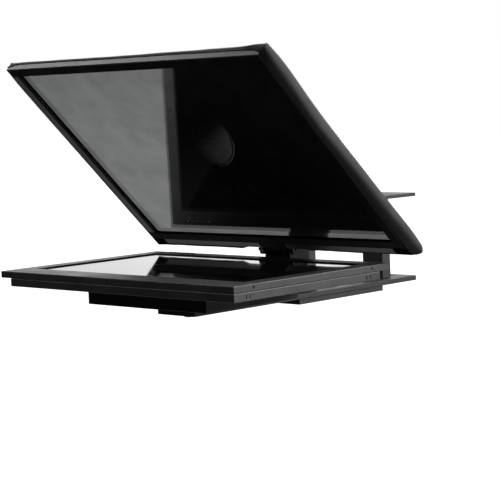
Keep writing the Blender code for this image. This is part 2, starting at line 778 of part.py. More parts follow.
def make_tilt_knob():
    _, y, z = PIVOT
    start = EAR_HALF + GAP
    outline = shifted(lobed(0.0115, 0.0022, 6), y, z)
    knob = prism("tilt_knob", "tilt_knob", "knob_plastic", outline, -start - 0.015, -start - 0.003, "X")
    soften(knob, 0.0008)
    collar = rod("tilt_knob_collar", "tilt_knob", None, (-start, y, z), 0.006, 0.0085, "-X")
    boolean(knob, collar, "UNION")
    cut_hole(knob, "tilt_knob", (-start + THROUGH, y, z), 0.0135, PIN_NECK + GAP, "-X")


def make_hinge_flange():
    """A foot under the bottom rail, between the strips, with a web down to a knuckle between the ears."""
    knuckle = [
        (KNUCKLE_RADIUS * math.cos(a), KNUCKLE_RADIUS * math.sin(a))
        for a in arc(math.radians(60), math.radians(300), 10)
    ]
    top = FRAME_LOW - GAP
    half = EAR_GAP - 0.0005
    outline = knuckle + [(top - 0.001, FLANGE_BACK + 0.001), (top - 0.001, FLANGE_FRONT - 0.001)]
    flange = prism("hinge_flange", "glass_frame", "frame_metal", outline, -half, half, "X")
    join_box(
        flange, "glass_frame", (-EAR_HALF, STRIP_LOW, FLANGE_BACK), (EAR_HALF, top, FLANGE_FRONT)
    )
    cut_hole(flange, "glass_frame", (-PIN_BORE, 0, 0), 2 * PIN_BORE, PIN_RADIUS + GAP, "+X")


# ---------------------------------------------------------------- glass frame


def rail_section(edge, inward):
    """The L section of a rail: a lip in front of the glass and a wall outside it, as (across, depth)."""
    return [
        (edge, FRAME_FACE), (edge + inward * LIP, FRAME_FACE),
        (edge + inward * LIP, FRAME_FACE - LIP_DEPTH), (edge + inward * RAIL_WALL, FRAME_FACE - LIP_DEPTH),
        (edge + inward * RAIL_WALL, RAIL_BACK), (edge, RAIL_BACK),
    ]


def make_rails():
    for name, edge, inward in (("rail_bottom", FRAME_LOW, 1), ("rail_top", FRAME_TOP, -1)):
        rail = prism(
            name, "glass_frame", "frame_metal", rail_section(edge, inward), -FRAME_HALF, FRAME_HALF, "X"
        )
        soften(rail, 0.0008)
    for name, side in (("rail_left", -1), ("rail_right", 1)):
        section = [(depth, across) for across, depth in rail_section(side * FRAME_HALF, -side)]
        rail = prism(
            name, "glass_frame", "frame_metal", section, FRAME_LOW + LIP + GAP, FRAME_TOP - LIP - GAP, "Y"
        )
        soften(rail, 0.0008)


def make_glass():
    half = FRAME_HALF - GLASS_INSET
    glass = box(
        "beamsplitter_glass", "glass_frame", "half_mirror",
        (-half, FRAME_LOW + GLASS_INSET, GLASS_BACK), (half, FRAME_TOP - GLASS_INSET, GLASS_FACE),
    )
    soften(glass, 0.0005)


def make_beads():
    """Rubber beads behind the glass, which press it against the lips."""
    front = GLASS_BACK - GAP
    back = front - BEAD_DEPTH
    outer = FRAME_HALF - RAIL_WALL - GAP
    low, high = FRAME_LOW + RAIL_WALL + GAP, FRAME_TOP - RAIL_WALL - GAP
    spans = {
        "bead_bottom": ((-outer, low), (outer, low + BEAD_WIDTH)),
        "bead_top": ((-outer, high - BEAD_WIDTH), (outer, high)),
        "bead_left": ((-outer, low + BEAD_WIDTH + GAP), (-outer + BEAD_WIDTH, high - BEAD_WIDTH - GAP)),
        "bead_right": ((outer - BEAD_WIDTH, low + BEAD_WIDTH + GAP), (outer, high - BEAD_WIDTH - GAP)),
    }
    for name, (start, end) in spans.items():
        bead = box(name, "glass_frame", "gasket_rubber", (*start, back), (*end, front))
        soften(bead, 0.0015)


def make_corner_keys():
    front = RAIL_BACK - GAP
    width = RAIL_WALL + BEAD_WIDTH
    for name, across, up in (
        ("corner_key_1", -1, -1), ("corner_key_2", 1, -1), ("corner_key_3", 1, 1), ("corner_key_4", -1, 1),
    ):
        x = across * (FRAME_HALF - KEY_INSET)
        y = FRAME_LOW + KEY_INSET if up < 0 else FRAME_TOP - KEY_INSET
        end_x, end_y = x - across * KEY_LEG, y - up * KEY_LEG
        in_x, in_y = x - across * width, y - up * width
        outline = [(x, y), (end_x, y), (end_x, in_y), (in_x, in_y), (in_x, end_y), (x, end_y)]
        prism(name, "glass_frame", "frame_metal", outline, front - KEY_THICK, front)


def make_bottom_strips():
    """Stiffening strips under the bottom rail, either side of the hinge flange."""
    near = EAR_HALF + 0.001
    for name, left, right in (
        ("bottom_strip_left", -STRIP_END, -near), ("bottom_strip_right", near, STRIP_END),
    ):
        strip = box(
            name, "glass_frame", "frame_metal",
            (left, STRIP_LOW, FRAME_FACE - STRIP_DEPTH), (right, FRAME_LOW - GAP, FRAME_FACE),
        )
        soften(strip, 0.0008)


# ---------------------------------------------------------------- hood


def frame_ring(half, low, high, depth):
    """Points round a rectangle of the glass frame, starting at a corner and going round once."""
    corners = [(half, high), (-half, high), (-half, low), (half, low)]
    points = []
    for i, (x, y) in enumerate(corners):
        next_x, next_y = corners[(i + 1) % 4]
        for step in range(SIDE_STEPS):
            share = step / SIDE_STEPS
            points.append(Vector((x + (next_x - x) * share, y + (next_y - y) * share, depth)))
    return points


def sleeve_ring(centre, radius, lean):
    """A circle of the sleeve, drawn in the world and carried into the frame's own axes."""
    to_frame = Matrix.Rotation(-TILT, 3, "X")
    up = Vector((0, -math.sin(lean), math.cos(lean)))
    points = []
    for i in range(4 * SIDE_STEPS):
        angle = math.pi / 4 + 2 * math.pi * i / (4 * SIDE_STEPS)
        world = Vector(centre) + radius * (math.cos(angle) * Vector((1, 0, 0)) + math.sin(angle) * up)
        points.append(to_frame @ (world - Vector(PIVOT)))
    return points


def between(first, second, share):
    return [a.lerp(b, share) for a, b in zip(first, second)]


def hood_rings():
    half = FRAME_HALF + GAP + FABRIC
    low, high = FRAME_LOW - GAP - FABRIC, FRAME_TOP + GAP + FABRIC
    front = frame_ring(half, low, high, SKIRT_FRONT)
    back = frame_ring(half, low, high, SKIRT_BACK)
    mouth = sleeve_ring(MOUTH, MOUTH_RADIUS, MOUTH_LEAN)
    end = sleeve_ring(SLEEVE_END, SLEEVE_RADIUS, 0)
    return [front, back, between(back, mouth, 0.5), mouth, between(mouth, end, 0.5), end]


def make_hood():
    bm = bmesh.new()
    rings = [[bm.verts.new(point) for point in ring] for ring in hood_rings()]
    for first, second in zip(rings, rings[1:]):
        for i in range(len(first)):
            j = (i + 1) % len(first)
            bm.faces.new((first[i], second[i], second[j], first[j]))
    mesh = bpy.data.meshes.new("hood")
    bm.to_mesh(mesh)
    bm.free()
    smooth(mesh)
    hood = add_object("hood", mesh, "glass_frame", "hood_fabric")
    shell = hood.modifiers.new("Fabric", "SOLIDIFY")
    shell.thickness = FABRIC
    shell.offset = -1
    shell.use_even_offset = True


def make_drawcord():
    """The elastic cord round the end of the sleeve."""
    bm = bmesh.new()
    count, around = 28, 6
    cord_radius = 0.0019
    ring_radius = SLEEVE_RADIUS + GAP + cord_radius + 0.0004
    rings = []
    to_frame = Matrix.Rotation(-TILT, 3, "X")
    for i in range(count):
        angle = 2 * math.pi * i / count
        out = Vector((math.cos(angle), 0, math.sin(angle)))
        ring = []
        for j in range(around):
            turn = 2 * math.pi * j / around
            reach = ring_radius + cord_radius * math.cos(turn)
            world = Vector(SLEEVE_END) + out * reach + Vector((0, cord_radius * math.sin(turn) - 0.004, 0))
            ring.append(bm.verts.new(to_frame @ (world - Vector(PIVOT))))
        rings.append(ring)
    for i in range(count):
        for j in range(around):
            k, m = (i + 1) % count, (j + 1) % around
            bm.faces.new((rings[i][j], rings[i][m], rings[k][m], rings[k][j]))
    bmesh.ops.recalc_face_normals(bm, faces=bm.faces)
    mesh = bpy.data.meshes.new("hood_drawcord")
    bm.to_mesh(mesh)
    bm.free()
    smooth(mesh)
    add_object("hood_drawcord", mesh, "glass_frame", "gasket_rubber")


# ---------------------------------------------------------------- assembly


def main():
    clear_scene()
    add_collections()
    for index in range(BUTTONS):
        place = (BUTTON_X + index * BUTTON_PITCH, BUTTON_Y, DISPLAY_TOP)
        BODIES[f"button_{index + 1}"] = ("monitor", place)
    for name, (parent, place) in BODIES.items():
        add_body(name, parent, place)
    make_sled()
    make_base_plate()
    make_riser()
    make_camera_screw()
    make_bezel()
    make_buttons()
    make_button_board()
    make_panel()
    make_casing()
    make_bezel_screws()
    tray = make_electronics_box()
    make_boards()
    make_connectors(tray)
    make_carriage()
    make_bracket()
    make_hinge_pin()
    make_tilt_knob()
    make_hinge_flange()
    make_rails()
    make_glass()
    make_beads()
    make_corner_keys()
    make_bottom_strips()
    make_hood()
    make_drawcord()


main()
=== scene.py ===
import json
import math

import bmesh
import bpy
from mathutils import Matrix, Vector, noise


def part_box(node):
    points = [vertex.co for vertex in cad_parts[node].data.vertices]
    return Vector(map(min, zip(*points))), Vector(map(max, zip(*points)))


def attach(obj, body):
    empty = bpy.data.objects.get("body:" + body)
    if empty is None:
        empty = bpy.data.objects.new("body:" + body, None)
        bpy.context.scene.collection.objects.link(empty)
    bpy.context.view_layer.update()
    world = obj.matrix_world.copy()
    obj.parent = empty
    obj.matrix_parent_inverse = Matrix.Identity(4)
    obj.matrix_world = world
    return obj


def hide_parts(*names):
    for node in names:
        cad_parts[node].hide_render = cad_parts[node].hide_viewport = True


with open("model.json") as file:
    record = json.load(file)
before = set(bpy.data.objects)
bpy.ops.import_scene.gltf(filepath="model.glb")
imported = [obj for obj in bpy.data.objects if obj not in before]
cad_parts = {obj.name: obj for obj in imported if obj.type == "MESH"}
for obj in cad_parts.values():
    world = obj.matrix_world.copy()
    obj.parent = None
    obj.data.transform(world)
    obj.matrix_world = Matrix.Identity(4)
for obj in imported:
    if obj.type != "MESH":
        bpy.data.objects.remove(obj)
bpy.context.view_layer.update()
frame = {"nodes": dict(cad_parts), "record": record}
nodes = frame["nodes"]
scene = bpy.context.scene

MM = 0.001
LEAN = math.radians(44.3)  # the glass frame's lean over the display, from the horizontal
TILT_UP = Vector((0, -math.cos(LEAN), math.sin(LEAN)))
TILT_OUT = Vector((0, -math.sin(LEAN), -math.cos(LEAN)))

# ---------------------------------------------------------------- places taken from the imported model


def middle(node):
    """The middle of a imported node's box."""
    low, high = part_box(node)
    return (low + high) / 2


PIN = middle("hinge_pin")  # the tilt axis runs through it along X


def tilted(x, up, out):
    """A point of the glass frame: x across, up the glass from the tilt axis, out of the mirrored face."""
    return Vector((x, PIN.y, PIN.z)) + up * TILT_UP + out * TILT_OUT


def flat(point):
    """The glass frame's own (x, up, out) of a point."""
    away = Vector((0, point.y - PIN.y, point.z - PIN.z))
    return Vector((point.x, away.dot(TILT_UP), away.dot(TILT_OUT)))


def flat_box(node):
    """Lowest and highest corner of a node in the glass frame's own axes."""
    spots = [flat(v.co) for v in nodes[node].data.vertices]
    low = Vector(min(s[i] for s in spots) for i in range(3))
    high = Vector(max(s[i] for s in spots) for i in range(3))
    return low, high


RAIL_LOW, _ = flat_box("rail_bottom")
_, RAIL_HIGH = flat_box("rail_top")
FACE = RAIL_HIGH[2]  # the rails' front face
FRAME_HALF = RAIL_HIGH[0]

# ---------------------------------------------------------------- materials


def node(tree, kind, inputs=None, **settings):
    """A new shader node with those socket values and settings."""
    made = tree.nodes.new(kind)
    for key, value in settings.items():
        setattr(made, key, value)
    for key, value in (inputs or {}).items():
        made.inputs[key].default_value = value
    return made


def material(name, colour, roughness, metallic=0.0, **shader):
    """A Principled material. The other names are the shader's own sockets, with _ for each space."""
    made = bpy.data.materials.new(name)
    made.use_nodes = True
    tree = made.node_tree
    principled = tree.nodes["Principled BSDF"]
    principled.inputs["Base Color"].default_value = (*colour, 1)
    principled.inputs["Roughness"].default_value = roughness
    principled.inputs["Metallic"].default_value = metallic
    for key, value in shader.items():
        principled.inputs[key.replace("_", " ")].default_value = value
    return made, tree, principled


def place(tree, output="Object", stretch=None):
    """Texture coordinates in metres: the piece's own, or its UVs where the output says so."""
    spot = node(tree, "ShaderNodeTexCoord").outputs[output]
    if stretch:
        mapping = node(tree, "ShaderNodeMapping", {"Scale": stretch})
        tree.links.new(spot, mapping.inputs["Vector"])
        spot = mapping.outputs["Vector"]
    return spot


def grain(tree, spot, size, detail=3.0):
    """Noise with a grain of that size in metres."""
    made = node(tree, "ShaderNodeTexNoise", {"Scale": 1 / size, "Detail": detail, "Roughness": 0.55})
    tree.links.new(spot, made.inputs["Vector"])
    return made.outputs["Fac"]


def ranged(tree, value, low, high, start=0.35, end=0.65):
    """The value with start to end spread over low to high."""
    limits = {"From Min": start, "From Max": end, "To Min": low, "To Max": high}
    made = node(tree, "ShaderNodeMapRange", limits)
    tree.links.new(value, made.inputs["Value"])
    return made.outputs["Result"]


def bump(tree, principled, heights):
    """Adds (height, depth in metres) pairs one after another to the shader's normal."""
    normal = None
    for height, depth in heights:
        made = node(tree, "ShaderNodeBump", {"Distance": depth, "Strength": 1.0})
        tree.links.new(height, made.inputs["Height"])
        if normal:
            tree.links.new(normal, made.inputs["Normal"])
        normal = made.outputs["Normal"]
    tree.links.new(normal, principled.inputs["Normal"])


def blended(tree, factor, first, second):
    """A mix of two colours or colour outputs, the first where the factor is 0."""
    made = node(tree, "ShaderNodeMix", data_type="RGBA")
    for socket, value in ((made.inputs[6], first), (made.inputs[7], second)):
        if isinstance(value, tuple):
            socket.default_value = (*value, 1)
        else:
            tree.links.new(value, socket)
    tree.links.new(factor, made.inputs[0])
    return made.outputs[2]


def edges(tree, radius):
    """1 along convex edges within that radius, 0 on the flats, broken up by noise."""
    bevel = node(tree, "ShaderNodeBevel", {"Radius": radius}, samples=4)
    facing = node(tree, "ShaderNodeNewGeometry").outputs["Normal"]
    dot = node(tree, "ShaderNodeVectorMath", operation="DOT_PRODUCT")
    tree.links.new(bevel.outputs["Normal"], dot.inputs[0])
    tree.links.new(facing, dot.inputs[1])
    edge = ranged(tree, dot.outputs["Value"], 1.0, 0.0, 0.82, 0.99)
    wear = ranged(tree, grain(tree, place(tree), 0.012, 5.0), 0.0, 1.0, 0.42, 0.62)
    both = node(tree, "ShaderNodeMath", operation="MULTIPLY")
    tree.links.new(edge, both.inputs[0])
    tree.links.new(wear, both.inputs[1])
    return both.outputs[0]


def coated(name, colour, cloud_and_top_shade, roughness, grit, depth, metallic=0.0, brushed=None, **shader):
    """A blasted, brushed or powder-coated metal: fine grit, cloudy gloss and lighter worn edges."""
    made, tree, principled = material(name, colour, roughness, metallic, **shader)
    spot = place(tree)
    cloud = grain(tree, spot, 0.055, 4.0)
    tint = blended(tree, ranged(tree, cloud, 0.0, 1.0), colour, tuple(c * 1.35 for c in colour))
    tree.links.new(blended(tree, edges(tree, 0.0011), tint, cloud_and_top_shade), principled.inputs["Base Color"])
    tree.links.new(ranged(tree, cloud, roughness - 0.05, roughness + 0.06), principled.inputs["Roughness"])
    heights = [(grain(tree, spot, grit), depth)]
    if brushed:
        heights.append((grain(tree, place(tree, stretch=brushed), 0.0009), depth * 0.6))
    bump(tree, principled, heights)
    return made


def moulded(name, colour, roughness, grit=0.0009, depth=0.00004, **shader):
    """Plastic or rubber with a fine moulded texture and faint handling marks."""
    made, tree, principled = material(name, colour, roughness, **shader)
    spot = place(tree)
    patch = grain(tree, spot, 0.03, 4.0)
    tint = blended(tree, ranged(tree, patch, 0.0, 1.0), colour, tuple(c * 1.5 for c in colour))
    tree.links.new(tint, principled.inputs["Base Color"])
    tree.links.new(ranged(tree, patch, roughness - 0.06, roughness + 0.08), principled.inputs["Roughness"])
    bump(tree, principled, [(grain(tree, spot, grit), depth)])
    return made


SKIRT_END, TAPER_START = 0.024, 0.050  # metres across the cloth from the hem: the painted shade of the taper and sleeve sets in between these
TOP_START, TOP_END = 0.62, 0.74  # metres along the hem: painted shade darkens the cloth over the frame's top up to here
WAVE_PITCH = 0.314  # the wave texture's scale that puts its bands one metre apart


def woven(name, colour, light, thread=0.0011):
    """Black nylon cloth: two crossing sets of threads, cloudy tone, and painted shade on the taper, the
    sleeve and the top.
    """
    made, tree, principled = material(name, colour, 0.88)
    principled.inputs["Sheen Weight"].default_value = 0.05
    principled.inputs["Sheen Roughness"].default_value = 0.45
    principled.inputs["Specular IOR Level"].default_value = 0.20
    principled.inputs["Sheen Tint"].default_value = (0.75, 0.77, 0.80, 1)
    spot = place(tree, "UV")
    axes = node(tree, "ShaderNodeSeparateXYZ")
    tree.links.new(spot, axes.inputs[0])
    taper_shade_mask = ranged(tree, axes.outputs["Y"], 0.0, 1.0, SKIRT_END, TAPER_START)
    threads = []
    for direction in ("X", "Y"):
        wave = node(
            tree, "ShaderNodeTexWave", {"Scale": WAVE_PITCH / thread, "Distortion": 0.6, "Detail": 1.0},
            wave_type="BANDS", bands_direction=direction,
        )
        tree.links.new(spot, wave.inputs["Vector"])
        threads.append(wave.outputs["Fac"])
    weave = node(tree, "ShaderNodeMath", operation="MULTIPLY")
    for socket, value in zip(weave.inputs, threads):
        tree.links.new(value, socket)
    cloud = grain(tree, place(tree), 0.07, 5.0)
    dark = tuple(c * 0.45 for c in colour)
    shaded = tuple(c * 0.15 for c in colour)
    # Painted shade: the base colour is darkened over the frame's top, blended with the cloudy tone
    past_top = ranged(tree, axes.outputs["X"], 0.0, 1.0, TOP_START, TOP_END)
    cloud_and_top_shade = blended(tree, past_top, shaded, blended(tree, ranged(tree, cloud, 0.0, 1.0), colour, light))
    # Painted shade: the taper and the sleeve are darkened in the base colour
    cloud_and_painted_shade = blended(tree, taper_shade_mask, cloud_and_top_shade, (0.005, 0.005, 0.0052))
    tree.links.new(blended(tree, weave.outputs[0], dark, cloud_and_painted_shade), principled.inputs["Base Color"])
    creases = grain(tree, place(tree, stretch=(1.0, 0.55, 0.55)), 0.022, 2.0)
    bump(tree, principled, [(weave.outputs[0], 0.00025), (creases, 0.0012)])
    return made


def make_screen():
    """Glossy black glass over the display, with faint smears."""
    made, tree, principled = material("screen_glass", (0.003, 0.003, 0.0034), 0.035, Coat_Weight=0.15)
    smear = ranged(tree, grain(tree, place(tree), 0.05, 6.0), 0.02, 0.07)
    tree.links.new(smear, principled.inputs["Roughness"])
    return made


def make_mirror():
    """A thin semi-silvered coat on the face towards the display, with a nearly clear back."""
    made, tree, principled = material("half_mirror", (0.51, 0.52, 0.52), 0.012, 1.0)
    spot = node(tree, "ShaderNodeTexCoord")
    dot = node(tree, "ShaderNodeVectorMath", operation="DOT_PRODUCT")
    dot.inputs[1].default_value = TILT_OUT
    tree.links.new(spot.outputs["Normal"], dot.inputs[0])
    coat = ranged(tree, dot.outputs["Value"], 0.02, 0.45, 0.85, 0.95)
    streaks = grain(tree, place(tree, stretch=(1.0, 0.35, 1.0)), 0.055, 4.0)
    streaked = node(tree, "ShaderNodeMath", operation="MULTIPLY")
    tree.links.new(coat, streaked.inputs[0])
    tree.links.new(ranged(tree, streaks, 0.84, 1.12), streaked.inputs[1])
    tree.links.new(streaked.outputs[0], principled.inputs["Alpha"])
    smear = ranged(tree, grain(tree, spot.outputs["Object"], 0.06, 6.0), 0.008, 0.03)
    tree.links.new(smear, principled.inputs["Roughness"])
    return made


def make_board():
    """A green circuit board with a grid of bare tracks."""
    made, tree, principled = material("circuit_board", (0.012, 0.07, 0.03), 0.4, Coat_Weight=0.4)
    brick = node(
        tree, "ShaderNodeTexBrick",
        {"Color1": (0.02, 0.11, 0.05, 1), "Color2": (0.012, 0.075, 0.035, 1), "Mortar": (0.25, 0.20, 0.08, 1),
         "Scale": 90.0, "Mortar Size": 0.035},
    )
    tree.links.new(place(tree), brick.inputs["Vector"])
    tree.links.new(brick.outputs["Color"], principled.inputs["Base Color"])
    bump(tree, principled, [(brick.outputs["Fac"], 0.0001)])
    return made


def make_led():
    """A green lens with a faint glow."""
    made, tree, principled = material("led_lens", (0.02, 0.30, 0.06), 0.18, Coat_Weight=0.5)
    principled.inputs["Emission Color"].default_value = (0.05, 0.7, 0.15, 1)
    principled.inputs["Emission Strength"].default_value = 0.25
    tree.links.new(ranged(tree, grain(tree, place(tree), 0.001), 0.12, 0.3), principled.inputs["Roughness"])
    return made


FINISH = {
    "frame_metal": coated(
        "frame_metal", (0.013, 0.013, 0.0135), (0.07, 0.07, 0.07), 0.40, 0.0006, 0.00003, 0.25
    ),
    "plate_metal": coated(
        "plate_metal", (0.014, 0.014, 0.0145), (0.06, 0.06, 0.06), 0.48, 0.0006, 0.00002, 0.25,
        brushed=(1.0, 0.04, 1.0), Specular_IOR_Level=0.35,
    ),
    "casing_paint": coated(
        "casing_paint", (0.012, 0.012, 0.0125), (0.055, 0.055, 0.056), 0.42, 0.0010, 0.00005
    ),
    "screen_glass": make_screen(),
    "half_mirror": make_mirror(),
    "hood_fabric": woven("hood_fabric", (0.075, 0.075, 0.077), (0.115, 0.115, 0.118)),
    "gasket_rubber": moulded("gasket_rubber", (0.006, 0.006, 0.006), 0.72, 0.0012, 0.00006),
    "screw_steel": coated(
        "screw_steel", (0.022, 0.022, 0.023), (0.12, 0.12, 0.12), 0.38, 0.0005, 0.00001, 0.6
    ),
    "knob_plastic": moulded("knob_plastic", (0.014, 0.014, 0.015), 0.48),
    "button_plastic": moulded("button_plastic", (0.020, 0.020, 0.022), 0.40, 0.0005, 0.00002),
    "circuit_board": make_board(),
    "panel_metal": coated(
        "panel_metal", (0.42, 0.42, 0.43), (0.6, 0.6, 0.6), 0.34, 0.0010, 0.00001, 0.95,
        brushed=(0.03, 1.0, 1.0),
    ),
    "connector_metal": coated(
        "connector_metal", (0.52, 0.51, 0.48), (0.7, 0.7, 0.68), 0.24, 0.0008, 0.00001, 1.0
    ),
    "led_lens": make_led(),
}
# A darker black for the electronics box: painted shade under the display casing's overhang
box_shade_black = coated(
    "box_shade_black", (0.006, 0.006, 0.006), (0.02, 0.02, 0.02), 0.6, 0.0010, 0.00005, Specular_IOR_Level=0.25
)
# Dead matt black: rubber trim and blackened screws, and painted shade on the hinge parts, in the casing's
# slots and on three rails' faces
trim_black = moulded("trim_black", (0.0025, 0.0025, 0.0025), 0.85, 0.0012, 0.00005, Specular_IOR_Level=0.2)
print_white = moulded("print_white", (0.62, 0.62, 0.62), 0.6, 0.0006, 0.00001)
thread_black = moulded("thread_black", (0.030, 0.030, 0.031), 0.8, 0.0004, 0.0001)

# Nodes painted a darker black than their slot's finish, as painted shade: the hinge parts under the glass
# frame and the electronics box under the display casing
SHADE_DARKENED = {
    "hinge_flange": trim_black,
    "hinge_pin": trim_black,
    "tilt_bracket": trim_black,
    "electronics_box": box_shade_black,
}


def dress_cad():
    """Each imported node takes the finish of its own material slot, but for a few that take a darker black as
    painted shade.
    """
    for entry in frame["record"]["subparts"]:
        name, mesh = entry["node"], nodes[entry["node"]].data
        mesh.materials.clear()
        mesh.materials.append(SHADE_DARKENED.get(name, FINISH[entry["material_slot"]]))


# ---------------------------------------------------------------- mesh helpers


def add_piece(name, mesh, body, slot, paint=None):
    """A finished piece that rides on a body, in its slot's finish or in a paint of its own."""
    piece = bpy.data.objects.new(name, mesh)
    scene.collection.objects.link(piece)
    mesh.materials.append(paint or FINISH[slot])
    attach(piece, body)
    return piece


def mesh_of(name, bm, angle=35):
    """The bmesh as a smooth mesh, with edges over that angle in degrees kept sharp unless it is 0."""
    mesh = bpy.data.meshes.new(name)
    bm.to_mesh(mesh)
    bm.free()
    mesh.shade_smooth()
    if angle:
        mesh.set_sharp_from_angle(angle=math.radians(angle))
    return mesh


def loft(name, rings, body, slot, paint=None):
    """A closed body through rings of points, with flat ends."""
    bm = bmesh.new()
    rows = [[bm.verts.new(p) for p in ring] for ring in rings]
    for first, second in zip(rows, rows[1:]):
        for i in range(len(first)):
            j = (i + 1) % len(first)
            bm.faces.new((first[i], first[j], second[j], second[i]))
    bm.faces.new(rows[0][::-1])
    bm.faces.new(rows[-1])
    bmesh.ops.recalc_face_normals(bm, faces=bm.faces)
    return add_piece(name, mesh_of(name, bm), body, slot, paint)


def cloth_grid(name, rows, thickness, levels, around, slot, start=0.0):
    """A fabric strip or tube through rows of points, or a closed one where around is true.

    Its UVs run in metres along the cloth from 0 and across it from start.
    """
    bm = bmesh.new()
    uv = bm.loops.layers.uv.new("cloth")
    verts = [[bm.verts.new(p) for p in row] for row in rows]
    count = len(rows[0])
    spans = count if around else count - 1
    along, across = [0.0], [start]
    for i in range(spans):
        along.append(along[-1] + (rows[0][(i + 1) % count] - rows[0][i]).length)
    for first, second in zip(rows, rows[1:]):
        across.append(across[-1] + (second[0] - first[0]).length)
    for r in range(len(rows) - 1):
        for i in range(spans):
            j = (i + 1) % count
            face = bm.faces.new((verts[r][i], verts[r + 1][i], verts[r + 1][j], verts[r][j]))
            spots = ((i, r), (i, r + 1), (i + 1, r + 1), (i + 1, r))
            for corner, (a, b) in zip(face.loops, spots):
                corner[uv].uv = (along[a], across[b])
    piece = add_piece(name, mesh_of(name, bm, 0), "glass_frame", slot)
    if levels:
        smoother = piece.modifiers.new("Smooth", "SUBSURF")
        smoother.levels = smoother.render_levels = levels
    shell = piece.modifiers.new("Fabric", "SOLIDIFY")
    shell.thickness = thickness
    shell.offset = -1
    return piece


# ---------------------------------------------------------------- hood

CLOTH = 1.2 * MM
SIDE_STEPS = (38, 30, 38, 30)  # steps along the frame's top, left, bottom and right
CORNER_STEP = 2.6 * MM
TAPER, TUBE = 26, 10  # rows of the taper and of the lens sleeve
FOLDS = 22  # gathers round the sleeve
HELD = "held"
SLACK = 0.012  # the cloth is cut this share larger than the span it covers
REACH = 9 * MM  # the furthest that the cloth settles from its drawn place
SEAM_WIDTH = 9 * MM
SEAM_PAST_HEM = 32 * MM  # the seams' UVs start this far across the cloth, so they take part of the taper's painted shade
CORD_MIDDLE = middle("hood_drawcord")
SLEEVE_RADIUS = 46 * MM
MOUTH_RADIUS = 50 * MM
MOUTH = Vector((0, CORD_MIDDLE.y - 96 * MM, CORD_MIDDLE.z))
SLEEVE_END = Vector((0, CORD_MIDDLE.y + 4 * MM, CORD_MIDDLE.z))
MOUTH_LEAN = math.radians(20)
HOOP_RADIUS = 1.2 * MM


def side_shares(steps, length):
    """Steps along one side, with one close to each corner so the cloth turns it crisply."""
    near = CORNER_STEP / length
    inner = [near + (1 - 2 * near) * i / (steps - 2) for i in range(steps - 1)]
    return [0.0] + inner


def frame_ring():
    """Points (x, up) once round the glass frame's outside, starting at its top right corner."""
    low, high = RAIL_LOW[1], RAIL_HIGH[1]
    corners = [(FRAME_HALF, high), (-FRAME_HALF, high), (-FRAME_HALF, low), (FRAME_HALF, low)]
    ring = []
    for i, steps in enumerate(SIDE_STEPS):
        (x, up), (next_x, next_up) = corners[i], corners[(i + 1) % 4]
        length = math.hypot(next_x - x, next_up - up)
        for share in side_shares(steps, length):
            ring.append((x + (next_x - x) * share, up + (next_up - up) * share))
    return ring


def sleeve_ring(centre, radius, lean):
    """A circle of the sleeve with as many points as a frame ring, a quarter for each side."""
    rise = Vector((0, -math.sin(lean), math.cos(lean)))
    ring = []
    for i, steps in enumerate(SIDE_STEPS):
        for step in range(steps):
            angle = math.pi / 4 + math.pi / 2 * (i + step / steps)
            ring.append(centre + radius * (math.cos(angle) * Vector((1, 0, 0)) + math.sin(angle) * rise))
    return ring


def eased(share):
    """0 below 0 and 1 above 1, with a smooth rise between."""
    share = min(max(share, 0.0), 1.0)
    return share * share * (3 - 2 * share)


# How far each row of the skirt stands off the rails and how far forward it lies, in millimetres, from the
# hem to the seam where the taper is sewn on
TOP_ROWS = ((0.5, -1.9), (1.2, -2.8), (1.5, -3.9), (1.5, -5.0), (1.4, -6.2), (1.1, -7.4), (0.6, -8.4))
LEFT_ROWS = ((0.9, 8.0), (3.2, 6.6), (3.8, 3.6), (3.6, 0.0), (3.0, -3.6), (1.8, -6.6), (0.7, -8.4))
RIGHT_ROWS = ((-0.45, 9.7), (0.55, 9.3), (0.95, 5.0), (1.0, -0.5), (1.0, -6.0), (0.92, -11.0), (0.55, -13.6))
BOTTOM_ROWS = ((16.5, 7.8), (19.5, 4.6), (19.8, 1.0), (17.0, -2.0), (12.0, -5.0), (6.0, -7.3), (0.7, -8.4))
HINGE_ROWS = ((0.5, -0.7), (0.9, -1.6), (1.0, -3.0), (1.0, -4.4), (1.0, -5.9), (0.9, -7.2), (0.6, -8.3))


